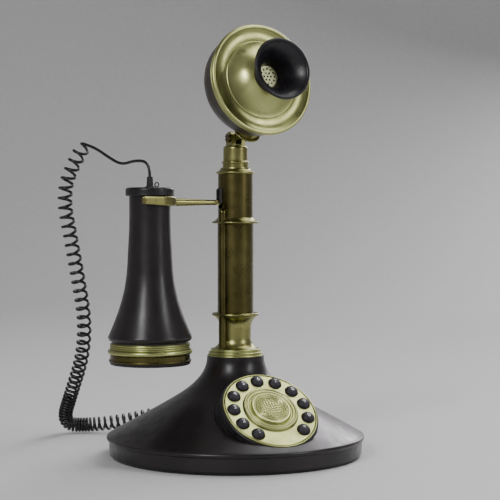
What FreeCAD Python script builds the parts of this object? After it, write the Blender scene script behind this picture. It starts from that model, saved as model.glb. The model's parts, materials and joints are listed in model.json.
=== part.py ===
import FreeCAD, Part
import math
import os

# Candlestick telephone with a push-button dial, in millimetres.
# +Z is up and the origin is the centre of the felt foot, on the table. The dial and the
# mouthpiece face -Y, and the receiver hangs in its forked hook on the -X side.

V = FreeCAD.Vector

# ---------------------------------------------------------------- driving dimensions

# Base
foot_height = 2.0
plate_top = 3.5
skirt_radius = 88.2
rim_height = 13.0
neck_top = 69.3
neck_floor = 66.3
slope_points = ((86.8, 15.8), (67.0, 26.8), (46.0, 38.6), (31.0, 48.8), (23.0, 58.0), (20.0, neck_top))
wall = 1.8
boss_circle = 75.0
screw_angles = (45, 135, 225, 315)

# Dial: its plane is square to a line that rises dial_rise degrees towards the front.
# It is turned dial_turn degrees round the column, towards the receiver.
dial_reach = 58.5
dial_height = 38.2
dial_turn = 6.0
dial_rise = 50.0
plate_radius = 31.4
plate_thick = 1.3
sleeve_bore = 30.95
sleeve_radius = 32.3
lip_radius = 33.8
lip_depth = 3.0
medallion_radius = 19.2
key_circle = 25.9
key_radius = 4.5
key_hole = 4.8
key_flange = 4.9
key_step = 28.0
key_first_angle = 232.0
key_names = ("key_1", "key_2", "key_3", "key_4", "key_5", "key_6",
             "key_7", "key_8", "key_9", "key_0", "key_redial")
board_screw_circle = 12.0

# Column, all on the Z axis
tie_radius = 5.0
flange_base = 97.4
tube_base = 99.4
tube_radius = 12.6
mid_ring_base = 162.0
barrel_base = 166.0
barrel_radius = 12.2
barrel_bore = 9.6
barrel_top = 196.5
shoulder_top = 200.8
post_top = 216.3
rod_offset = 13.0
rod_radius = 2.7
rod_angle = 197.0
rod_top = 169.5

# Switch hook
hook_pivot = V(4.0, 0, 176.5)
hook_pin_radius = 1.5
hook_pin_reach = 10.5
arm_end = -17.0
guard_half = 2.7
guard_top = 186.6
fork_inner = 14.8
fork_outer = 18.0
fork_low = 173.8
fork_high = 180.2
fork_rise = 1.6
front_tine = 12.0
back_tine = 3.6
running_gap = 0.06

# Receiver, hanging beside the column
receiver_offset = -66.5
receiver_neck = 14.0
neck_low = 170.0
cap_low = 180.6
cap_high = 186.3
relief_top = 193.7
band_top = 73.8
band_low = 68.6
plate_low = 71.7

# Transmitter: its axis rises mic_rise degrees towards the front
tilt_pivot = V(0, 0, 221.5)
tilt_pin_radius = 1.6
cheek_inner = 2.4
cheek_outer = 5.2
cheek_radius = 4.4
mic_centre = V(0, -37.7, 259.6)
mic_rise = 10.7
cup_radius = 35.7
collar_low = 9.6
throat_radius = 7.5
saddle_point = (29.5, -27.0)
saddle_lean = 31.0

# Cord
wire_radius = 1.05
coil_radius = 5.75
gland_height = 20.0
lead_route = (
    V(-66.5, 0, relief_top), V(-66.5, 0, 203.5), V(-71.0, 13.0, 205.2), V(-75.0, 27.0, 202.3),
    V(-79.0, 39.0, 207.8), V(-83.5, 52.0, 214.8), V(-88.0, 63.0, 220.4))
coil_route = (
    V(-87.0, 62.0, 218.0), V(-92.0, 71.5, 205.0), V(-97.2, 78.5, 182.0), V(-88.5, 84.0, 150.0),
    V(-79.5, 92.0, 120.0), V(-70.0, 102.0, 90.0), V(-66.0, 116.0, 62.0), V(-67.0, 133.0, 36.0),
    V(-69.5, 149.0, 7.0), V(-48.0, 141.0, 6.2), V(-26.0, 123.0, 10.0), V(-11.0, 107.0, 16.0))
tail_route = (
    V(-11.0, 107.0, 16.0), V(-5.0, 101.5, 18.5), V(0, 97.0, gland_height), V(0, 91.0, gland_height))


# ---------------------------------------------------------------- drawing helpers

def arc(middle, end):
    return ("arc", middle, end)


def curve(*points):
    return ("curve",) + points


def upright(point):
    """A (radius, height) pair as a point of the XZ plane."""
    return V(point[0], 0, point[1])


def outline_face(start, *steps):
    """A face in the XZ plane. Each step is a point, an arc or a smooth curve."""
    edges = []
    here = start
    for step in steps + (start,):
        if step[0] == "arc":
            edges.append(Part.Arc(upright(here), upright(step[1]), upright(step[2])).toShape())
            here = step[2]
        elif step[0] == "curve":
            spline = Part.BSplineCurve()
            spline.interpolate([upright(point) for point in (here,) + step[1:]])
            edges.append(spline.toShape())
            here = step[-1]
        elif step != here:
            edges.append(Part.LineSegment(upright(here), upright(step)).toShape())
            here = step
    return Part.Face(Part.Wire(edges))


def turned(start, *steps):
    """A solid of revolution about the Z axis."""
    return outline_face(start, *steps).revolve(V(0, 0, 0), V(0, 0, 1), 360)


def ring(outer, inner, low, high):
    return turned((inner, low), (outer, low), (outer, high), (inner, high))


def rod(start, end, radius):
    return Part.makeCylinder(radius, (end - start).Length, start, end - start)


def box(low, high):
    return Part.makeBox(high[0] - low[0], high[1] - low[1], high[2] - low[2], V(*low))


def joined(first, *others):
    return first.fuse(list(others)).removeSplitter()


def facing_front(centre, rise):
    """The placement of a thing drawn about Z that faces -Y and up by rise degrees."""
    return FreeCAD.Placement(centre, FreeCAD.Rotation(V(1, 0, 0), 90 - rise))


def turned_place(angle):
    """A turn about Z by that many degrees."""
    return FreeCAD.Placement(V(0, 0, 0), FreeCAD.Rotation(V(0, 0, 1), angle))


dial_place = turned_place(-dial_turn).multiply(facing_front(V(0, -dial_reach, dial_height), dial_rise))
mic_place = facing_front(mic_centre, mic_rise)
saddle_place = mic_place.multiply(FreeCAD.Placement(
    V(0, -saddle_point[0], saddle_point[1]), FreeCAD.Rotation(V(1, 0, 0), 180 - saddle_lean)))


def moved(shape, place):
    result = shape.copy()
    result.Placement = place.multiply(shape.Placement)
    return result


def on_dial(shape):
    return moved(shape, dial_place)


def on_mic(shape):
    return moved(shape, mic_place)


def on_saddle(shape):
    return moved(shape, saddle_place)


def at_receiver(shape):
    placed = shape.copy()
    placed.translate(V(receiver_offset, 0, 0))
    return placed


def around(radius, angle, height=0.0):
    turn = math.radians(angle)
    return V(radius * math.cos(turn), radius * math.sin(turn), height)


def hexagon(width, low, high):
    """A hexagonal prism about Z, width across its flats."""
    corners = [around(width / math.sqrt(3), 60 * side, low) for side in range(7)]
    return Part.Face(Part.makePolygon(corners)).extrude(V(0, 0, high - low))


def bent_path(points):
    """Straight runs joined by tangent arcs. Prints each bend's radius."""
    edges = []
    here = points[0]
    radii = []
    for before, corner, after in zip(points, points[1:], points[2:]):
        back = before - corner
        ahead = after - corner
        trim = 0.45 * min(back.Length, ahead.Length)
        half_turn = (math.pi - back.getAngle(ahead)) / 2
        radii.append(trim / math.tan(half_turn))
        back.normalize()
        ahead.normalize()
        inward = (back + ahead).normalize()
        centre_gap = math.hypot(trim, radii[-1])
        entry = corner + back * trim
        middle = corner + inward * (centre_gap - radii[-1])
        leave = corner + ahead * trim
        edges.append(Part.LineSegment(here, entry).toShape())
        edges.append(Part.Arc(entry, middle, leave).toShape())
        here = leave
    edges.append(Part.LineSegment(here, points[-1]).toShape())
    print("bend radii", [round(radius, 1) for radius in radii])
    return Part.Wire(edges)


def tube_along(points, radius):
    path = bent_path(points)
    section = Part.Wire(Part.makeCircle(radius, points[0], points[1] - points[0]))
    tube = path.makePipeShell([section], True, True)
    expected = math.pi * radius ** 2 * path.Length
    print("length", round(path.Length, 1), "volume over expected", round(tube.Volume / expected, 3))
    return tube


# ---------------------------------------------------------------- base

def base_body():
    """The base's outer shape as a full solid."""
    return turned(
        (0, foot_height), (skirt_radius, foot_height), (88.7, 11.2),
        arc((90.2, rim_height), (88.6, 14.8)), slope_points[0],
        curve(*slope_points[1:]), (0, neck_top))


def base_cavity():
    inner = [(radius - wall, height - wall - 0.2) for radius, height in slope_points[1:-1]]
    return turned(
        (0, foot_height), (skirt_radius - 1.4, foot_height), (skirt_radius - 1.4, 13.2),
        curve(*inner), (slope_points[-1][0] - wall, neck_floor), (0, neck_floor))


def jack_box(width, low, high, near, far):
    """A box at the rear of the base, on its centre line."""
    return box((-width / 2, near, low), (width / 2, far, high))


def base_shell():
    bosses = [rod(around(boss_circle, angle, plate_top), around(boss_circle, angle, 24), 4)
              for angle in screw_angles]
    screw_holes = [rod(around(boss_circle, angle, 2), around(boss_circle, angle, 11), 1.5)
                   for angle in screw_angles]
    shell = base_body().cut(base_cavity())
    shell = shell.fuse([boss.common(base_body()) for boss in bosses])
    dial_hole = on_dial(turned(
        (0, -22), (sleeve_radius + 0.1, -22), (sleeve_radius + 0.1, -lip_depth), (lip_radius, -lip_depth),
        (lip_radius, 20), (0, 20)))
    tie_hole = rod(V(0, 0, 60), V(0, 0, 70), tie_radius)
    gland_hole = rod(V(0, 65, gland_height), V(0, 95, gland_height), 2.6)
    jack_hole = jack_box(10.6, 4.2, 10.8, 80, 95)
    return shell.cut(screw_holes + [dial_hole, tie_hole, gland_hole, jack_hole])


def bottom_plate():
    plate = ring(skirt_radius - 1.6, 6, foot_height, plate_top)
    holes = [rod(around(boss_circle, angle, 1), around(boss_circle, angle, 5), 1.6)
             for angle in screw_angles]
    vents = [rod(around(40, angle, 1), around(40, angle, 5), 2) for angle in range(0, 360, 30)]
    return plate.cut(holes + vents)


def felt_foot():
    return ring(86.4, 79.5, 0, foot_height)


def bottom_screws():
    screw = turned((0, 0.5), (2.2, 0.6), arc((2.8, 1.0), (3.0, 2.0)), (1.5, 2.0), (1.5, 10), (0, 11))
    slot = box((-2, -0.4, 0), (2, 0.4, 1.1))
    screw = screw.cut(slot)
    screws = []
    for angle in screw_angles:
        placed = screw.copy()
        placed.translate(around(boss_circle, angle))
        screws.append(placed)
    return Part.makeCompound(screws)


def ballast_weight():
    weight = ring(58, 20, plate_top, 8.5)
    relief = box((-60, 26, 0), (60, 64, 20))
    return weight.cut(relief)


def main_board():
    board = box((-30, 28, 10), (30, 62, 11.6))
    posts = [rod(V(x, y, plate_top), V(x, y, 10), 2.5) for x in (-26, 26) for y in (32, 58)]
    chips = [box((-18, 36, 11.6), (-4, 48, 13.6)), box((6, 34, 11.6), (20, 42, 13.2))]
    capacitors = [rod(V(x, 54, 11.6), V(x, 54, 20), 3.6) for x in (-12, 0, 12)]
    return joined(board, *(posts + chips + capacitors))


def ringer():
    case = ring(14, 4, 8.5, 18).fuse(Part.makeCylinder(14, 1.2, V(0, 0, 8.5)))
    case.translate(V(38, -4, 0))
    return case.removeSplitter()


def line_jack():
    housing = jack_box(13.2, plate_top, 12.3, 70, 86.4)
    nose = jack_box(10.4, 4.3, 10.7, 86, 87.8)
    socket = jack_box(9.4, 4.8, 10.2, 74, 95)
    latch = jack_box(3.2, 10.1, 10.5, 76, 95)
    return joined(housing, nose).cut([socket, latch])


def rearward(shape):
    """Lays a shape drawn about Z along +Y at the height of the cord gland."""
    return moved(shape, FreeCAD.Placement(V(0, 0, gland_height), FreeCAD.Rotation(V(1, 0, 0), -90)))


def cord_gland():
    collar = rearward(turned(
        (0, 72), (4.4, 72), (4.4, 87.0), arc((4.1, 88.1), (3.2, 88.6)), (2.6, 88.8), (2.3, 91.0), (0, 91.0)))
    shank = rearward(Part.makeCylinder(2.6, 18, V(0, 0, 68)))
    return collar.cut(base_body()).fuse(shank).removeSplitter()


# ---------------------------------------------------------------- dial

def dial_bezel():
    """A stepped drum that stands on the base, with a sleeve through the base's opening."""
    drum = turned(
        (sleeve_bore, -plate_thick), (32.7, -plate_thick), (32.7, -0.9),
        arc((33.5, -1.1), (lip_radius, -1.7)), (lip_radius, -lip_depth), (33.3, -3.3), (33.3, -3.8),
        (34.3, -4.2), (34.3, -6.0), (33.8, -6.3), (33.8, -6.8),
        (34.8, -7.2), (34.8, -9.2), (34.3, -9.5), (34.3, -10.0),
        (35.2, -10.4), (35.2, -16), (sleeve_bore, -16))
    room = turned(
        (0, -40), (sleeve_radius, -40), (sleeve_radius, -lip_depth), (lip_radius, -lip_depth),
        (lip_radius, 20), (0, 20))
    return on_dial(drum).cut(base_body().cut(on_dial(room)))


def dial_rim():
    return on_dial(turned(
        (31.7, -plate_thick), (32.7, -plate_thick), (32.7, -0.5),
        arc((32.2, 0.1), (31.7, -0.5))))


def key_places():
    return [around(key_circle, key_first_angle - key_step * index) for index in range(len(key_names))]


def board_screw_places(height):
    return [around(board_screw_circle, angle, height) for angle in (90, 210, 330)]


def dial_faceplate():
    plate = turned(
        (0, -plate_thick), (plate_radius, -plate_thick), (plate_radius, -0.5),
        arc((31.25, -0.15), (30.9, 0)), (0, 0))
    bosses = [rod(place, place + V(0, 0, 5.9), 2.4) for place in board_screw_places(-7.2)]
    holes = [rod(place - V(0, 0, 5), place + V(0, 0, 5), key_hole) for place in key_places()]
    screw_holes = [rod(place, place + V(0, 0, 5.5), 1.2) for place in board_screw_places(-7.3)]
    stud_hole = rod(V(0, 0, -5), V(0, 0, 5), 3)
    return on_dial(plate.fuse(bosses).cut(holes + screw_holes + [stud_hole]))


def dial_medallion():
    disc = turned(
        (0, 0), (medallion_radius, 0), (medallion_radius, 0.6), arc((18.9, 1.2), (18.2, 1.4)), (17.4, 1.3),
        arc((16.8, 0.8), (16.3, 1.0)), (16.0, 1.9), arc((15.3, 2.5), (14.4, 2.4)),
        arc((13.9, 1.8), (13.3, 1.9)), curve((7.0, 2.5), (0.4, 2.8)), (0, 2.8))
    stud = rod(V(0, 0, -5), V(0, 0, 0), 3)
    return on_dial(joined(disc, stud))


def keypad_membrane():
    sheet = ring(30.6, 8, -9.2, -7.2)
    domes = [Part.makeCone(3.8, 2.6, 0.7, place - V(0, 0, 7.2)) for place in key_places()]
    holes = [rod(place, place + V(0, 0, 4), 1.2) for place in board_screw_places(-10)]
    return on_dial(sheet.fuse(domes).cut(holes))


def keypad_board():
    disc = ring(30.6, 8, -10.8, -9.2)
    holes = [rod(place, place + V(0, 0, 4), 1.2) for place in board_screw_places(-12)]
    return on_dial(disc.cut(holes))


def keypad_screws():
    screw = turned((0, -12.4), (2.3, -12.2), (2.3, -10.8), (1.2, -10.8), (1.2, -2.2), (0, -1.8))
    screws = []
    for place in board_screw_places(0):
        placed = screw.copy()
        placed.translate(place)
        screws.append(on_dial(placed))
    return Part.makeCompound(screws)


def push_button(place):
    """A domed button with a flange behind the faceplate and a short stem."""
    button = turned(
        (0, -4.6), (1.6, -4.6), (1.6, -2.7), (key_flange, -2.7), (key_flange, -1.7), (key_radius, -1.7),
        (key_radius, 0.2), arc((4.0, 1.6), (2.6, 2.6)), arc((1.4, 2.86), (0.2, 2.95)), (0, 2.95))
    button.translate(place)
    return on_dial(button)


# ---------------------------------------------------------------- column

def side_rod_cutter():
    return rod(around(rod_offset, rod_angle, 70), around(rod_offset, rod_angle, 172.5), rod_radius)


def base_collar():
    collar = turned(
        (tie_radius, neck_top), (19.3, neck_top), arc((19.6, 69.9), (19.1, 70.5)), (18.3, 70.7), (18.3, 71.1),
        arc((19.0, 71.8), (18.3, 72.5)), (17.3, 72.8), (17.3, 73.3), arc((17.4, 74.1), (16.6, 74.6)),
        (tie_radius, 74.6))
    return collar.cut(side_rod_cutter())


def pedestal():
    """A cove, a waist and a flared cup under a flange, turned in one piece."""
    body = turned(
        (tie_radius, 74.6), (15.4, 74.6), curve((12.4, 77.2), (10.9, 82.0)), (10.9, 89.5),
        curve((11.9, 93.2), (14.4, 96.6)), (14.8, flange_base), (16.0, flange_base),
        arc((16.6, 98.4), (16.0, tube_base)), (tie_radius, tube_base))
    return body.cut(side_rod_cutter())


def column_tube():
    return ring(tube_radius, 11.2, tube_base, mid_ring_base)


def mid_ring():
    band = turned(
        (tie_radius, mid_ring_base), (16.2, mid_ring_base), arc((16.6, 162.7), (16.2, 163.3)),
        curve((14.4, 164.0), (12.9, 165.4), (12.4, barrel_base)), (tie_radius, barrel_base))
    return band.cut(side_rod_cutter())


def side_rod():
    """A half-round moulding that covers the wires beside the column."""
    core = Part.makeCylinder(tube_radius, mid_ring_base - tube_base, V(0, 0, tube_base))
    waist = Part.makeCylinder(10.9, 24, V(0, 0, 74))
    neck = Part.makeCylinder(barrel_radius, 20, V(0, 0, barrel_base - 1))
    top = Part.makeSphere(rod_radius, around(rod_offset, rod_angle, rod_top))
    shaft = rod(around(rod_offset, rod_angle, 70), around(rod_offset, rod_angle, rod_top), rod_radius)
    return joined(shaft, top).cut([core, waist, neck])


def switch_barrel():
    barrel = joined(
        ring(barrel_radius, barrel_bore, barrel_base, barrel_top),
        ring(barrel_bore, tie_radius, barrel_base, barrel_base + 2.5))
    slot = box((-20, -guard_half, 172.4), (-5, guard_half, guard_top))
    pin_hole = rod(hook_pivot - V(0, hook_pin_reach, 0), hook_pivot + V(0, 20, 0), hook_pin_radius)
    return barrel.cut([slot, pin_hole])


def shoulder_cap():
    return turned(
        (4, barrel_top), (12.9, barrel_top), arc((13.5, 197.3), (13.0, 198.1)),
        curve((11.8, 198.7), (10.8, 199.6), (10.4, shoulder_top)), (4, shoulder_top))


def ear(side):
    """One cheek of the tilt knuckle."""
    near, far = sorted((side * cheek_inner, side * cheek_outer))
    cheek = rod(tilt_pivot + V(near, 0, 0), tilt_pivot + V(far, 0, 0), cheek_radius)
    return cheek.fuse(box((near, -cheek_radius, 214), (far, cheek_radius, tilt_pivot.z)))


def neck_post():
    post = turned(
        (0, barrel_top), (4, barrel_top), (4, shoulder_top), (9.0, shoulder_top), (9.0, 203.6),
        arc((9.7, 204.4), (9.0, 205.2)), (8.6, 205.6), (8.6, 214.0), arc((8.0, 215.6), (6.4, post_top)),
        (0, post_top))
    pin_hole = rod(tilt_pivot - V(20, 0, 0), tilt_pivot + V(20, 0, 0), tilt_pin_radius)
    return joined(post, ear(-1), ear(1)).cut(pin_hole)


def tie_tube():
    return ring(tie_radius, 3.6, 60, 172)


def tie_nuts():
    bore = rod(V(0, 0, 50), V(0, 0, 180), tie_radius)
    lower = hexagon(14, 61, neck_floor).cut(bore)
    upper = hexagon(14, barrel_base + 2.5, 171.8).cut(bore)
    return Part.makeCompound([lower, upper])


def tilt_pin():
    """The slotted pin of the knuckle and the nut on its far end."""
    shaft = rod(tilt_pivot - V(6.0, 0, 0), tilt_pivot + V(8.0, 0, 0), tilt_pin_radius)
    head = rod(tilt_pivot - V(6.8, 0, 0), tilt_pivot - V(cheek_outer, 0, 0), 3.0)
    slot = box((-7.0, -3.2, 221.1), (-6.2, 3.2, 221.9))
    nut = hexagon(6.0, 0, 2.0)
    nut.rotate(V(0, 0, 0), V(0, 1, 0), 90)
    nut.translate(tilt_pivot + V(cheek_outer, 0, 0))
    return Part.makeCompound([joined(shaft, head).cut(slot), nut.cut(shaft)])


# ---------------------------------------------------------------- switch hook

def hook_pin():
    """The hook's pivot, pushed in from behind into a blind hole."""
    return rod(hook_pivot - V(0, hook_pin_reach, 0), hook_pivot + V(0, hook_pin_reach, 0), hook_pin_radius)


def fork_outline():
    """A U in plan, open towards -X, whose longer tine passes in front of the receiver."""
    middle = (fork_inner + fork_outer) / 2
    nose = (fork_outer - fork_inner) / 2
    front = receiver_offset - front_tine
    back = receiver_offset - back_tine

    def at(x, y):
        return V(x, y, fork_low)

    edges = [
        Part.LineSegment(at(front, -fork_inner), at(receiver_offset, -fork_inner)),
        Part.Arc(at(receiver_offset, -fork_inner), at(receiver_offset + fork_inner, 0),
                 at(receiver_offset, fork_inner)),
        Part.LineSegment(at(receiver_offset, fork_inner), at(back, fork_inner)),
        Part.Arc(at(back, fork_inner), at(back - nose, middle), at(back, fork_outer)),
        Part.LineSegment(at(back, fork_outer), at(receiver_offset, fork_outer)),
        Part.Arc(at(receiver_offset, fork_outer), at(receiver_offset + fork_outer, 0),
                 at(receiver_offset, -fork_outer)),
        Part.LineSegment(at(receiver_offset, -fork_outer), at(front, -fork_outer)),
        Part.Arc(at(front, -fork_outer), at(front - nose, -middle), at(front, -fork_inner))]
    return Part.Face(Part.Wire([edge.toShape() for edge in edges]))


def fork():
    """The fork, thinner towards the tip of its front tine."""
    solid = fork_outline().extrude(V(0, 0, fork_high - fork_low))
    flat_edges = [edge for edge in solid.Edges
                  if abs(edge.Vertexes[0].Z - edge.Vertexes[-1].Z) < 0.01]
    tip = receiver_offset - front_tine - 3
    start = receiver_offset + 6
    taper = Part.Face(Part.makePolygon([
        V(tip, 0, fork_low - 1), V(start, 0, fork_low - 1), V(start, 0, fork_low),
        V(tip, 0, fork_low + fork_rise), V(tip, 0, fork_low - 1)]))
    under = taper.extrude(V(0, -30, 0))
    return solid.makeFillet(1.2, flat_edges).cut(under)


def hook_lever():
    height = hook_pivot.z
    fork_root = receiver_offset + fork_outer
    arm = Part.makeCone(1.7, 2.9, arm_end - fork_root + 1, V(arm_end, 0, height), V(-1, 0, 0))
    knob = Part.makeSphere(2.0, V(arm_end + 0.4, 0, height))
    blade = box((arm_end, -1.2, height - 1.6), (hook_pivot.x, 1.2, height + 1.6))
    eye = rod(hook_pivot - V(0, 1.2, 0), hook_pivot + V(0, 1.2, 0), 3.3)
    hole = rod(hook_pivot - V(0, 5, 0), hook_pivot + V(0, 5, 0), hook_pin_radius + running_gap)
    return joined(fork(), arm, knob, blade, eye).cut(hole)


def slot_guard():
    """A black hood round the upper part of the hook's slot."""
    front = -13.9
    hood = box((front, -guard_half, 176.0), (-9.8, guard_half, guard_top))
    passage = box((-20, -1.7, 170), (-5, 1.7, guard_top - 1.2))
    bevel = rod(V(front, -5, guard_top), V(front, 5, guard_top), 1.0)
    return hood.cut([passage, bevel])


def switch_contacts():
    """Three leaf springs in their insulating block, and the guard of the hook's slot."""
    block = box((0.5, -4, 189), (8, 4, barrel_top))
    leaves = [box((x, -2.5, 180.5), (x + 0.4, 2.5, 189)) for x in (1.5, 3.8, 6.1)]
    return Part.makeCompound([block, slot_guard()] + leaves)


# ---------------------------------------------------------------- receiver

def receiver_shell():
    return at_receiver(turned(
        (12.2, cap_low), (12.2, neck_low),
        curve((12.4, 157), (13.2, 143.4), (14.4, 125.3), (18.3, 107.2), (24.0, 88.0)),
        (24.0, 81.2), (25.4, 81.2), (25.4, 82.4), arc((28.1, 83.6), (28.2, 86.0)),
        curve((23.2, 98.1), (18.9, 111.5), (16.2, 125.3), (14.9, 143.4), (14.2, 157),
              (receiver_neck, neck_low)),
        (receiver_neck, cap_low)))


def receiver_cap():
    return at_receiver(turned(
        (1.4, 176), (12.1, 176), (12.1, cap_low), (16.0, cap_low), arc((16.5, 181.0), (16.5, 181.6)),
        (16.5, 184.6), arc((16.0, 185.8), (14.8, cap_high)), (1.4, cap_high)))


def strain_relief():
    """The sleeve that the cord leaves by, and a small wire loop beside it."""
    sleeve = turned(
        (0, cap_high), (3.2, cap_high), (3.2, 187.0), (2.3, 187.4), (2.0, 192.9),
        arc((1.9, 193.5), (1.5, relief_top)), (0, relief_top))
    loop = Part.makeTorus(1.5, 0.4, V(5.2, 0, 188.3), V(0, 1, 0))
    stem = rod(V(5.2, 0, cap_high), V(5.2, 0, 186.8), 0.5)
    return at_receiver(Part.makeCompound([sleeve, joined(loop, stem)]))


def ear_ring_upper():
    pitch = 1.3
    steps = [(26.0, 81.2), (26.0, 81.0)]
    for ridge in range(3):
        top = 80.9 - pitch * ridge
        steps += [(26.4, top), arc((27.2, top - 0.5), (26.4, top - 1.0))]
    steps += [(26.4, 77.0), arc((28.7, 75.4), (26.7, band_top)), (22.5, band_top)]
    return at_receiver(turned((22.5, 81.2), *steps))


def ear_ring_lower():
    return at_receiver(turned(
        (22.5, band_top), (26.7, band_top), (27.1, 73.3), (27.1, 70.2), arc((28.0, 69.4), (27.2, band_low)),
        (22.5, band_low)))


def ear_cap():
    return at_receiver(turned(
        (9, plate_low), (9, 70.5), curve((13.0, 69.8), (19.0, 68.1), (24.6, 66.7)), (25.8, 66.7),
        arc((27.1, 67.1), (27.4, 68.0)), (27.4, band_low), (22.4, band_low), (22.4, plate_low)))


def sound_holes(inner, outer, height):
    """Places of a ring of six and a ring of twelve holes round a middle one."""
    places = [V(0, 0, height)]
    places += [around(inner, 60 * index, height) for index in range(6)]
    places += [around(outer, 30 * index, height) for index in range(12)]
    return places


def ear_plate():
    plate = Part.makeCylinder(22.0, 1, V(0, 0, plate_low))
    holes = [rod(place, place + V(0, 0, 3), 0.9) for place in sound_holes(3.2, 6.4, plate_low - 1)]
    return at_receiver(plate.cut(holes))


def speaker_capsule():
    low = plate_low + 1
    return at_receiver(turned((0, low), (21.5, low), (21.5, 77.5), (14, 78.5), (14, 82), (0, 82)))


def receiver_weight():
    return at_receiver(ring(11.8, 3, 162.5, 175.5))


# ---------------------------------------------------------------- transmitter

def cup_body():
    """The transmitter cup's outer shape as a full solid, drawn about Z."""
    return turned(
        (0, -2), (cup_radius, -2), (cup_radius, -12),
        curve((34.4, -20), (29.0, -27), (18, -30.5), (0, -31.5)))


def transmitter_cup():
    cavity = turned(
        (0, -2), (34.1, -2), (34.1, -12), curve((32.8, -19.2), (27.9, -25.4), (17.6, -28.9), (0, -29.9)))
    return on_mic(cup_body().cut(cavity))


def transmitter_face():
    """The outer ring: a rounded rim and a shallow dish down to the cone plate's groove."""
    return on_mic(turned(
        (26.4, -3.2), (33.9, -3.2), (33.9, -2.0), (35.8, -2.0), (35.8, -4.6), (37.4, -4.6),
        arc((37.9, -4.1), (37.4, -3.6)),
        (37.1, -3.3), (37.5, -2.9), arc((38.5, -1.2), (37.3, 0.3)), arc((36.2, 0.2), (35.4, -0.6)),
        curve((32.6, -1.7), (29.8, -2.0), (27.6, -1.7)), (27.5, -2.3), (26.4, -2.3)))


def face_cone():
    return on_mic(turned(
        (24.4, -2.3), (27.2, -2.3), (27.2, -1.5), arc((26.8, -1.1), (26.1, -0.9)),
        curve((21.2, 0.7), (15.6, 4.6), (12.3, collar_low)), (10.0, collar_low), (10.0, 7.0),
        curve((14.0, 2.6), (19.8, -1.0), (24.4, -2.3))))


def mouthpiece():
    """The horn: a threaded shank in the cone plate, a narrow throat and a wide mouth."""
    return on_mic(turned(
        (9.9, 3.0), (9.9, collar_low), (12.1, collar_low), (12.1, 10.6), arc((11.9, 11.3), (11.2, 11.6)),
        curve((12.0, 15.4), (14.8, 20.0), (20.1, 25.0)), arc((21.0, 26.2), (20.1, 27.0)),
        arc((19.1, 26.6), (18.5, 25.7)), curve((13.4, 20.6), (9.9, 14.2), (throat_radius, 7.0)),
        (throat_radius, 3.0)))


def mic_grille():
    disc = Part.makeCylinder(throat_radius, 1.2, V(0, 0, 5.2))
    holes = [rod(place, place + V(0, 0, 3), 0.7) for place in sound_holes(2.6, 5.2, 4.5)]
    return on_mic(disc.cut(holes))


def microphone_capsule():
    return on_mic(turned(
        (0, -14), (20, -14), (20, -4), (11, -3), (11, 2), (throat_radius - 0.1, 2), (throat_radius - 0.1, 5.2),
        (0, 5.2)))


def tilt_bracket():
    """Saddle on the cup, a tongue and the eye that turns on the tilt pin."""
    saddle = on_saddle(turned(
        (0, -5), (8.0, -5), (8.0, 0), (9.0, 0), arc((9.7, 0.7), (9.0, 1.4)), (4.4, 1.8), (3.4, 2.8),
        (0, 2.8)))
    along = saddle_place.multVec(V(0, 0, 1.0)) - tilt_pivot
    half = cheek_inner - 0.3
    tongue = moved(Part.makeBox(2 * half, 5.6, along.Length, V(-half, -2.8, 0)),
                   FreeCAD.Placement(tilt_pivot, FreeCAD.Rotation(V(0, 0, 1), along)))
    eye = rod(tilt_pivot - V(half, 0, 0), tilt_pivot + V(half, 0, 0), 4.0)
    hole = rod(tilt_pivot - V(9, 0, 0), tilt_pivot + V(9, 0, 0), tilt_pin_radius + running_gap)
    return joined(saddle, tongue, eye).cut([on_mic(cup_body()), hole])


def bracket_screws():
    screws = []
    for side in (-1, 1):
        head = turned((0, 1.65), (1.4, 1.65), arc((1.1, 2.2), (0.4, 2.5)), (0, 2.5))
        head.translate(V(side * 6.6, 0, 0))
        screws.append(on_saddle(head))
    return Part.makeCompound(screws)


# ---------------------------------------------------------------- cord

def cord_ends():
    """The two stretches that aren't coiled: at the receiver and at the base."""
    return Part.makeCompound([tube_along(lead_route, wire_radius), tube_along(tail_route, wire_radius)])


def cord_coil():
    """The curly cord's outer shape: one thick tube along its route."""
    return tube_along(coil_route, coil_radius)


# ---------------------------------------------------------------- all parts

makers = (
    base_shell, bottom_plate, felt_foot, bottom_screws, ballast_weight, main_board, ringer,
    line_jack, cord_gland, dial_bezel, dial_rim, dial_faceplate, dial_medallion,
    keypad_membrane, keypad_board, keypad_screws, base_collar, pedestal, column_tube, mid_ring,
    side_rod, switch_barrel, shoulder_cap, neck_post, tie_tube, tie_nuts, tilt_pin, hook_pin,
    hook_lever, switch_contacts, receiver_shell, receiver_cap, strain_relief, ear_ring_upper,
    ear_ring_lower, ear_cap, ear_plate, speaker_capsule, receiver_weight, transmitter_cup,
    transmitter_face, face_cone, mouthpiece, mic_grille, microphone_capsule, tilt_bracket,
    bracket_screws, cord_ends, cord_coil)

parts = {}
for maker in makers:
    parts[maker.__name__] = maker()
for name, place in zip(key_names, key_places()):
    parts[name] = push_button(place)

os.makedirs("parts", exist_ok=True)
for name, shape in parts.items():
    shape.exportStep("parts/" + name + ".step")
    print(name, shape.ShapeType, len(shape.Solids), round(shape.Volume / 1000, 2), shape.isValid())
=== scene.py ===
import json
import math

import bpy
from mathutils import Matrix, Vector


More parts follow.
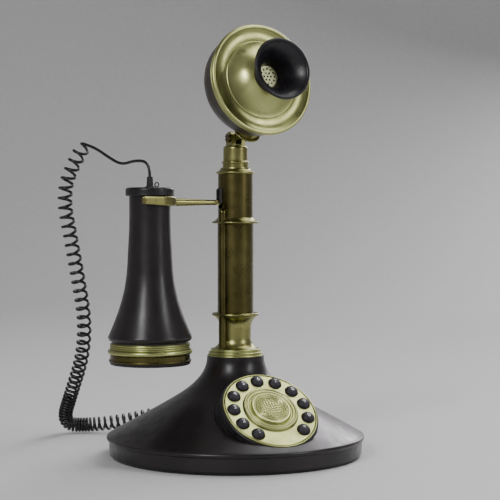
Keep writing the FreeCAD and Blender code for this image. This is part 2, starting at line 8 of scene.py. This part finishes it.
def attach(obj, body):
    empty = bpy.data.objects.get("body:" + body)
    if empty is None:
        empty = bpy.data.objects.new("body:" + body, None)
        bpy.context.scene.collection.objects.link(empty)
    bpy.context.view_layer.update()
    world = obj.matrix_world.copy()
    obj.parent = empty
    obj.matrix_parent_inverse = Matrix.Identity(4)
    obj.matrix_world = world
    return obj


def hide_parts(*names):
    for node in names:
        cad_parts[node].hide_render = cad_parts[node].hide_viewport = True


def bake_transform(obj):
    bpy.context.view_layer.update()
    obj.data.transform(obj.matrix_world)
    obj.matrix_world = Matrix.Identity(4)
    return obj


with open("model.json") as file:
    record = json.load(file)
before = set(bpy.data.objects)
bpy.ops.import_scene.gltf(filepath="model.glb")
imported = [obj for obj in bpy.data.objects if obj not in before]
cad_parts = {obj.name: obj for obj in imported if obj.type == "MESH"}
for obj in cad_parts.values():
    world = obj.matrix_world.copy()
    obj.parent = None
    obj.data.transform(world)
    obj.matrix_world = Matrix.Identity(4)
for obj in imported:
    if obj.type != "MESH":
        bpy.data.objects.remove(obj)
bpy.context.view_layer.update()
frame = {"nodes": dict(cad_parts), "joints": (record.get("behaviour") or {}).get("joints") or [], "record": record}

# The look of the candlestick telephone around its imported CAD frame, in metres.
# +Z is up, the dial and the mouthpiece face -Y, and the receiver hangs on the -X side.

MM = 0.001


# ---------------------------------------------------------------- places read from the frame

def joint_axis(name):
    joint = next(joint for joint in frame["joints"] if joint["name"] == name)
    return Vector(joint["axis"]).normalized()


dial_normal = -joint_axis("key_1_press")
dial_right = Vector((0, 0, 1)).cross(dial_normal).normalized()
dial_up = dial_normal.cross(dial_right)
keys = {"key_" + digit: digit for digit in "1234567890"}
keys["key_redial"] = "*"


def reach(node, direction):
    """How far a node reaches along a direction, backwards and forwards from the origin."""
    distances = [vertex.co.dot(direction) for vertex in frame["nodes"][node].data.vertices]
    return min(distances), max(distances)


def dial_matrix(node, height):
    """A frame on a node's axis, square to the dial: X to the right, Y up the slope, Z outwards.

    The height is measured from the origin along the dial's normal."""
    place = dial_normal * height
    for direction in (dial_right, dial_up):
        place += direction * (sum(reach(node, direction)) / 2)
    axes = Matrix((dial_right, dial_up, dial_normal)).transposed()
    return Matrix.Translation(place) @ axes.to_4x4()


# ---------------------------------------------------------------- camera

def make_camera():
    """A long lens in front of the telephone, to the receiver's side, near the hook's height."""
    azimuth = math.radians(-30)
    pitch = math.radians(1.3)
    distance = 1.0
    eye_height = 0.166
    aside = 0.01015
    back = Vector((math.sin(azimuth), -math.cos(azimuth), 0))
    right = Vector((math.cos(azimuth), math.sin(azimuth), 0))
    data = bpy.data.cameras.new("camera")
    data.sensor_width = 36
    data.lens = 102.8
    camera = bpy.data.objects.new("camera", data)
    bpy.context.scene.collection.objects.link(camera)
    camera.location = back * distance + right * aside + Vector((0, 0, eye_height))
    look = -back * math.cos(pitch) - Vector((0, 0, math.sin(pitch)))
    camera.rotation_euler = look.to_track_quat("-Z", "Y").to_euler()
    bpy.context.scene.camera = camera


# ---------------------------------------------------------------- cord

wire_radius = 1.05 * MM
coil_radius = 5.75 * MM
lead_route = (
    (-66.5, 0, 193.7), (-66.5, 0, 203.5), (-71.0, 13.0, 205.2), (-75.0, 27.0, 202.3),
    (-79.0, 39.0, 207.8), (-83.5, 52.0, 214.8), (-88.0, 63.0, 220.4))
coil_route = (
    (-87.0, 62.0, 218.0), (-92.0, 71.5, 205.0), (-97.2, 78.5, 182.0), (-88.5, 84.0, 150.0),
    (-79.5, 92.0, 120.0), (-70.0, 102.0, 90.0), (-66.0, 116.0, 62.0), (-67.0, 133.0, 36.0),
    (-69.5, 149.0, 7.0), (-48.0, 141.0, 6.2), (-26.0, 123.0, 10.0), (-11.0, 107.0, 16.0))
tail_route = (
    (-11.0, 107.0, 16.0), (-5.0, 101.5, 18.5), (0, 97.0, 20.0), (0, 91.0, 20.0))


def spline_curve(name, points, bevel=0.0):
    """A smooth open curve with those control points."""
    data = bpy.data.curves.new(name, "CURVE")
    data.dimensions = "3D"
    data.bevel_depth = bevel
    data.bevel_resolution = 3
    data.resolution_u = 6
    spline = data.splines.new("NURBS")
    spline.points.add(len(points) - 1)
    for slot, point in zip(spline.points, points):
        slot.co = (*point, 1)
    spline.order_u = 3
    spline.use_endpoint_u = True
    return bpy.data.objects.new(name, data)


def line_along(points):
    """The points that a smooth curve runs through."""
    curve = spline_curve("route", points)
    curve.data.resolution_u = 40
    mesh = bpy.data.meshes.new_from_object(curve)
    line = [vertex.co.copy() for vertex in mesh.vertices]
    bpy.data.meshes.remove(mesh)
    bpy.data.objects.remove(curve)
    return line


# (millimetres along the coil, length of one turn): open where it hangs, closed at the floor
pitch_stations = (
    (0, 7.4), (20, 6.9), (60, 6.9), (80, 7.3), (150, 7.4), (170, 6.3), (185, 5.2), (199, 4.6),
    (207, 3.4), (216, 2.3), (248, 2.3), (262, 5.0), (310, 5.6))


def turn_pitch(travelled):
    """Length of one turn at a distance along the coil, in metres."""
    along = travelled / MM
    for (start, low), (end, high) in zip(pitch_stations, pitch_stations[1:]):
        if along <= end:
            return (low + (high - low) * (along - start) / (end - start)) * MM
    return pitch_stations[-1][1] * MM


def helix_round(line):
    """Points of the curly cord's helix round a route, twelve to a turn."""
    steps_per_turn = 12
    ease_length = 4 * MM
    radius = coil_radius - wire_radius
    lengths = [0.0]
    for before, after in zip(line, line[1:]):
        lengths.append(lengths[-1] + (after - before).length)
    total = lengths[-1]
    points = []
    travelled = 0.0
    turn = 0.0
    index = 0
    across = Vector((0, 0, 1)).cross(line[1] - line[0]).normalized()
    while travelled < total:
        while lengths[index + 1] < travelled:
            index += 1
        span = lengths[index + 1] - lengths[index]
        share = (travelled - lengths[index]) / span
        place = line[index].lerp(line[index + 1], share)
        along = (line[index + 1] - line[index]).normalized()
        across = (across - along * across.dot(along)).normalized()
        side = along.cross(across)
        ease = min(1.0, travelled / ease_length, (total - travelled) / ease_length)
        swing = radius * (0.25 + 0.75 * ease)
        points.append(place + (across * math.cos(turn) + side * math.sin(turn)) * swing)
        turn += 2 * math.pi / steps_per_turn
        travelled += turn_pitch(travelled) / steps_per_turn
    return points


def metres(route):
    return [Vector(point) * MM for point in route]


def make_cord():
    """One wire: a plain lead from the receiver, the curly stretch and a tail into the base."""
    turns = helix_round(line_along(metres(coil_route)))
    points = metres(lead_route)[:-1] + turns + metres(tail_route)[1:]
    curve = spline_curve("curly_cord", points, wire_radius)
    mesh = bpy.data.meshes.new_from_object(curve)
    curve.data.bevel_depth = 0
    bare = bpy.data.meshes.new_from_object(curve)
    bpy.data.meshes.remove(bare)
    bpy.data.objects.remove(curve)
    cord = bpy.data.objects.new("curly_cord", mesh)
    bpy.context.scene.collection.objects.link(cord)
    mesh.shade_smooth()
    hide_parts("cord_ends", "cord_coil")
    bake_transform(cord)
    return cord


# ---------------------------------------------------------------- materials

def new_material(name, metallic=0.0, coat=0.0, coat_roughness=0.1, ior=1.5):
    material = bpy.data.materials.new(name)
    material.use_nodes = True
    shader = material.node_tree.nodes["Principled BSDF"]
    shader.inputs["Metallic"].default_value = metallic
    shader.inputs["Coat Weight"].default_value = coat
    shader.inputs["Coat Roughness"].default_value = coat_roughness
    shader.inputs["IOR"].default_value = ior
    return material


def shader_of(material):
    return material.node_tree.nodes["Principled BSDF"]


def pattern(material, scale, detail=3.0, stretch=(1, 1, 1), kind="ShaderNodeTexNoise"):
    """A texture in the object's own coordinates; gives its value socket."""
    nodes = material.node_tree.nodes
    links = material.node_tree.links
    place = nodes.new("ShaderNodeTexCoord")
    mapping = nodes.new("ShaderNodeMapping")
    mapping.inputs["Scale"].default_value = stretch
    texture = nodes.new(kind)
    texture.inputs["Scale"].default_value = scale
    if kind == "ShaderNodeTexNoise":
        texture.inputs["Detail"].default_value = detail
    links.new(place.outputs["Object"], mapping.inputs["Vector"])
    links.new(mapping.outputs["Vector"], texture.inputs["Vector"])
    return texture.outputs["Distance" if kind == "ShaderNodeTexVoronoi" else "Fac"]


def paint(material, value, stops):
    """Colours the surface from a value through a ramp of (position, colour) stops."""
    nodes = material.node_tree.nodes
    links = material.node_tree.links
    ramp = nodes.new("ShaderNodeValToRGB")
    elements = ramp.color_ramp.elements
    while len(elements) < len(stops):
        elements.new(0.5)
    for element, (position, colour) in zip(elements, stops):
        element.position = position
        element.color = (*colour, 1)
    links.new(value, ramp.inputs["Fac"])
    links.new(ramp.outputs["Color"], shader_of(material).inputs["Base Color"])


def vary_roughness(material, value, low, high):
    nodes = material.node_tree.nodes
    links = material.node_tree.links
    spread = nodes.new("ShaderNodeMapRange")
    spread.inputs["From Min"].default_value = 0.3
    spread.inputs["From Max"].default_value = 0.7
    spread.inputs["To Min"].default_value = low
    spread.inputs["To Max"].default_value = high
    links.new(value, spread.inputs["Value"])
    links.new(spread.outputs["Result"], shader_of(material).inputs["Roughness"])


def relief(material, value, depth, strength=1.0):
    """Adds a bump of that depth in metres, on top of any bump already there."""
    nodes = material.node_tree.nodes
    links = material.node_tree.links
    bump = nodes.new("ShaderNodeBump")
    bump.inputs["Distance"].default_value = depth
    bump.inputs["Strength"].default_value = strength
    normal = shader_of(material).inputs["Normal"]
    if normal.is_linked:
        links.new(normal.links[0].from_socket, bump.inputs["Normal"])
    links.new(value, bump.inputs["Height"])
    links.new(bump.outputs["Normal"], normal)


def brass(name, dark, light, low_rough, high_rough, lathe=(1, 1, 1)):
    """Aged brass: cloudy tarnish, fine tool lines and small scratches."""
    material = new_material(name, metallic=1.0)
    paint(material, pattern(material, 26, 3), ((0.3, dark), (0.65, light)))
    vary_roughness(material, pattern(material, 130, 3), low_rough, high_rough)
    relief(material, pattern(material, 500, 2, lathe), 0.00002, 0.3)
    return material


def lacquer(name, dark, light, low_rough, high_rough, coat):
    """Stoved black lacquer: slight orange peel, cloudy wear and faint dust."""
    material = new_material(name, coat=coat, coat_roughness=0.22, ior=1.38)
    clouds = pattern(material, 22, 7)
    paint(material, clouds, ((0.3, dark), (0.7, light)))
    vary_roughness(material, pattern(material, 160, 6), low_rough, high_rough)
    relief(material, pattern(material, 700, 2), 0.00003, 0.3)
    relief(material, pattern(material, 60, 2), 0.0001, 0.12)
    return material


def moulded(name, dark, light, low_rough, high_rough, grain=1500, depth=0.00002):
    """Moulded plastic or rubber with a fine grain."""
    material = new_material(name, ior=1.42)
    paint(material, pattern(material, 120, 5), ((0.3, dark), (0.7, light)))
    vary_roughness(material, pattern(material, 300, 4), low_rough, high_rough)
    relief(material, pattern(material, grain, 2), depth, 0.5)
    return material


def felt():
    material = new_material("felt")
    fibres = pattern(material, 1800, 6, (1, 1, 0.4))
    paint(material, fibres, ((0.3, (0.006, 0.008, 0.007)), (0.7, (0.022, 0.026, 0.023))))
    shader_of(material).inputs["Roughness"].default_value = 0.95
    shader_of(material).inputs["Sheen Weight"].default_value = 0.4
    relief(material, fibres, 0.0003)
    return material


def cast_iron():
    material = new_material("cast_weight", metallic=0.6)
    grains = pattern(material, 900, 5)
    paint(material, grains, ((0.3, (0.06, 0.06, 0.065)), (0.7, (0.2, 0.2, 0.21))))
    shader_of(material).inputs["Roughness"].default_value = 0.7
    relief(material, grains, 0.0004)
    return material


def brushed_steel():
    material = new_material("steel", metallic=1.0)
    lines = pattern(material, 300, 4, (0.15, 6, 1))
    paint(material, lines, ((0.3, (0.38, 0.38, 0.39)), (0.7, (0.62, 0.62, 0.63))))
    vary_roughness(material, lines, 0.25, 0.45)
    relief(material, lines, 0.00002, 0.4)
    return material


def circuit_board():
    material = new_material("board")
    cells = pattern(material, 500, kind="ShaderNodeTexVoronoi")
    paint(material, cells, ((0.1, (0.02, 0.12, 0.05)), (0.5, (0.03, 0.2, 0.09))))
    shader_of(material).inputs["Roughness"].default_value = 0.45
    relief(material, cells, 0.00005, 0.5)
    return material


def pale_grille():
    material = new_material("grille", metallic=0.55)
    specks = pattern(material, 600, 5)
    # Pale green paint, set a little darker to paint the shade in the mouthpiece's throat.
    paint(material, specks, ((0.3, (0.4, 0.42, 0.22)), (0.7, (0.56, 0.58, 0.34))))
    vary_roughness(material, specks, 0.35, 0.55)
    relief(material, specks, 0.00003, 0.5)
    return material


def make_materials():
    # Three tones of the same brass, each partly the piece's own tarnish and partly painted light: pale for the
    # dial, painted as lit from above; a middle tone for the hook, post and rings, painted as half lit on their
    # tops; olive for the column and its side rod, painted in shade.
    pale = ((0.32, 0.33, 0.125), (0.45, 0.47, 0.2))
    dull_half_lit = ((0.19, 0.18, 0.065), (0.30, 0.285, 0.11))
    olive = ((0.06, 0.05, 0.017), (0.12, 0.104, 0.038))
    return {
        "black_lacquer": lacquer(
            "black_lacquer", (0.007, 0.005, 0.006), (0.014, 0.010, 0.012), 0.28, 0.44, 0.2),
        "black_bezel": moulded("black_bezel", (0.007, 0.006, 0.007), (0.018, 0.016, 0.018), 0.25, 0.42),
        "brass": brass("brass", *pale, 0.26, 0.42),
        "brass_dull_half_lit": brass("brass_dull_half_lit", *dull_half_lit, 0.24, 0.38),
        "brass_dark": brass("brass_dark", *olive, 0.24, 0.4, (0.2, 0.2, 4)),
        "key_plastic": moulded("key_plastic", (0.012, 0.010, 0.014), (0.024, 0.020, 0.028), 0.42, 0.56),
        "bakelite": moulded(
            "bakelite", (0.005, 0.004, 0.005), (0.012, 0.010, 0.014), 0.26, 0.4, 900, 0.00001),
        # The cup is a dark bronze, and its near-black colour also paints the shade that falls on the cup's back.
        "cup_bronze": lacquer("cup_bronze", (0.016, 0.013, 0.010), (0.035, 0.029, 0.022), 0.3, 0.5, 0.2),
        "grille": pale_grille(),
        "steel": brushed_steel(),
        "cast_weight": cast_iron(),
        "felt": felt(),
        "rubber": moulded("rubber", (0.01, 0.01, 0.01), (0.025, 0.025, 0.025), 0.5, 0.7, 800, 0.00005),
        "board": circuit_board(),
        "inner_plastic": moulded("inner_plastic", (0.012, 0.012, 0.012), (0.026, 0.026, 0.026), 0.4, 0.6),
        "cord": moulded(
            "cord", (0.006, 0.006, 0.006), (0.016, 0.016, 0.016), 0.18, 0.32, 1200, 0.00001),
        "digit_paint": moulded("digit_paint", (0.72, 0.71, 0.74), (0.85, 0.84, 0.87), 0.4, 0.55),
    }


# Brass pieces in the middle tone: partly their own duller tarnish, partly painted light on their lit tops, between
# the lit dial and the shaded column.
dull_half_lit_nodes = ("hook_lever", "pedestal", "mid_ring", "shoulder_cap", "neck_post", "tilt_bracket")


def coat_frame(materials):
    """Gives every CAD node the finish of its slot in the record, or the dull brass whose tone also paints half
    light.
    """
    for part in frame["record"]["subparts"]:
        finish = "brass_dull_half_lit" if part["node"] in dull_half_lit_nodes else part["material_slot"]
        slots = frame["nodes"][part["node"]].data.materials
        if not slots:
            slots.append(None)
        for index in range(len(slots)):
            slots[index] = materials[finish]


# ---------------------------------------------------------------- pieces of the dial

def circle(radius, height, spokes):
    turns = [2 * math.pi * spoke / spokes for spoke in range(spokes)]
    return [Vector((radius * math.cos(turn), radius * math.sin(turn), height)) for turn in turns]


def ring_surface(name, middle, rings, material, place=Matrix(), closed=True):
    """A smooth surface round a middle point: rings of equally many points, innermost first."""
    spokes = len(rings[0])
    vertices = [place @ middle] + [place @ point for ring in rings for point in ring]
    faces = [(0, 1 + spoke, 1 + (spoke + 1) % spokes) for spoke in range(spokes)]
    for index in range(len(rings) - 1):
        near = 1 + index * spokes
        far = near + spokes
        for spoke in range(spokes):
            ahead = (spoke + 1) % spokes
            faces.append((near + spoke, far + spoke, far + ahead, near + ahead))
    if closed:
        last = 1 + (len(rings) - 1) * spokes
        faces.append([last + spoke for spoke in reversed(range(spokes))])
    mesh = bpy.data.meshes.new(name)
    mesh.from_pydata(vertices, [], faces)
    mesh.materials.append(material)
    mesh.shade_smooth()
    piece = bpy.data.objects.new(name, mesh)
    bpy.context.scene.collection.objects.link(piece)
    return piece


# (radius, height) of the medallion's turned rings, in millimetres
medallion_rings = (
    (0.0, 2.4), (11.5, 2.3), (11.8, 2.05), (12.1, 2.4), (13.1, 2.5), (13.6, 2.2),
    (13.9, 1.0), (14.2, 0.6), (14.7, 0.65), (15.1, 1.3), (15.5, 1.5), (16.3, 1.4),
    (16.5, 1.0), (16.8, 1.0), (17.1, 1.4), (17.6, 1.6), (18.4, 1.45), (18.9, 0.9), (19.2, 0.1))


# The carving: a knot out to knot_edge, then fine rings out to carved_edge. Heights and edges are
# in millimetres, waves in radians for each millimetre.
knot_edge = 8.0
knot_fade = 1.5
knot_height = 0.32
knot_waves = 3.2
carved_edge = 11.4
carved_fade = 0.4
ripple_height = 0.26
ripple_waves = 4.3


def knot(radius, angle):
    """Interlaced ridges between -1 and 1, from waves that cross in seven directions."""
    total = 0.0
    for index in range(7):
        direction = 2.4 * index
        shift = 1.3 * index ** 2
        total += math.cos(knot_waves * radius * math.cos(angle - direction) + shift)
    return math.tanh(1.1 * total)


def medallion_height(radius, angle):
    """The medallion's relief in millimetres: turned rings round a carved centre."""
    height = medallion_rings[-1][1]
    for (start, low), (end, high) in zip(medallion_rings, medallion_rings[1:]):
        if radius <= end:
            share = (radius - start) / (end - start)
            height = low + (high - low) * (3 * share ** 2 - 2 * share ** 3)
            break
    carved = max(0.0, min(1.0, (carved_edge - radius) / carved_fade))
    middle = max(0.0, min(1.0, (knot_edge - radius) / knot_fade))
    wander = 0.16 * math.sin(6 * angle + 0.8 * radius) + 0.1 * math.sin(11 * angle - radius)
    ripple = ripple_height * math.cos(ripple_waves * (radius + wander))
    return height + carved * (ripple * (1 - middle) + knot_height * knot(radius, angle) * middle)


def make_medallion(materials):
    """The dial's middle: rings and a carving, in place of the plainer CAD disc."""
    steps = 170
    spokes = 400
    outer = medallion_rings[-1][0]
    rings = []
    for step in range(1, steps + 1):
        ring = circle(outer * step / steps, 0, spokes)
        for point in ring:
            point.z = medallion_height(point.length, math.atan2(point.y, point.x))
        rings.append(ring)
    rings.append(circle(outer, -0.2, spokes))
    plate_front = reach("dial_faceplate", dial_normal)[1]
    place = dial_matrix("dial_faceplate", plate_front) @ Matrix.Scale(MM, 4)
    middle = Vector((0, 0, medallion_height(0, 0)))
    piece = ring_surface("carved_medallion", middle, rings, materials["brass"], place)
    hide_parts("dial_medallion")
    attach(piece, "stand")


def make_digit(key, digit, materials):
    """A numeral inlaid in a button's domed top, and bent to follow it."""
    size = 4.3 * MM
    dome_radius = 9.8 * MM
    text = bpy.data.curves.new("digit_text", "FONT")
    text.body = digit
    text.size = size
    text.align_x = "CENTER"
    text.align_y = "CENTER"
    text.extrude = 0.1 * MM
    holder = bpy.data.objects.new("digit_text", text)
    mesh = bpy.data.meshes.new_from_object(holder)
    bpy.data.objects.remove(holder)
    for vertex in mesh.vertices:
        vertex.co.z -= (vertex.co.x ** 2 + vertex.co.y ** 2) / (2 * dome_radius)
    mesh.transform(dial_matrix(key, reach(key, dial_normal)[1]))
    mesh.materials.append(materials["digit_paint"])
    piece = bpy.data.objects.new("digit_" + key[4:], mesh)
    bpy.context.scene.collection.objects.link(piece)
    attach(piece, "button_" + key[4:])


# ---------------------------------------------------------------- stage and light

def make_stage():
    """A pale floor that curves up into a plain backdrop all round."""
    flat = 1.6
    bend = 1.2
    wall = 2.0
    profile = [(flat / 2, 0.0), (flat, 0.0)]
    for step in range(1, 13):
        turn = math.radians(90 * step / 12)
        profile.append((flat + bend * math.sin(turn), bend * (1 - math.cos(turn))))
    profile.append((flat + bend, bend + wall))
    rings = [circle(radius, height, 96) for radius, height in profile]
    paper = moulded("floor_paint", (0.66, 0.66, 0.66), (0.70, 0.70, 0.70), 0.5, 0.7)
    ring_surface("floor", Vector((0, 0, 0)), rings, paper, closed=False)


def area_light(name, place, target, size, power, colour=(1, 1, 1)):
    data = bpy.data.lights.new(name, "AREA")
    data.shape = "RECTANGLE"
    data.size, data.size_y = size
    data.energy = power
    data.color = colour
    light = bpy.data.objects.new(name, data)
    bpy.context.scene.collection.objects.link(light)
    light.location = place
    light.rotation_euler = (Vector(target) - Vector(place)).to_track_quat("-Z", "Y").to_euler()


def make_lights():
    middle = (0, 0, 0.15)
    area_light("overhead", (0.5, 0.0, 1.2), middle, (0.8, 0.8), 8)
    area_light("front", (0.75, -1.25, 0.7), middle, (0.4, 0.7), 6)
    area_light("key", (-1.2, -0.8, 0.9), middle, (0.4, 0.7), 12)
    area_light("rim", (1.9, 1.2, 1.2), middle, (0.5, 1.4), 22, (1.0, 0.96, 1.0))
    world = bpy.data.worlds.new("world")
    world.use_nodes = True
    world.node_tree.nodes["Background"].inputs["Color"].default_value = (0.5, 0.5, 0.5, 1)
    world.node_tree.nodes["Background"].inputs["Strength"].default_value = 0.35
    bpy.context.scene.world = world


make_camera()
cord = make_cord()
materials = make_materials()
coat_frame(materials)
cord.data.materials.append(materials["cord"])
make_medallion(materials)
for key, digit in keys.items():
    make_digit(key, digit, materials)
make_stage()
make_lights()
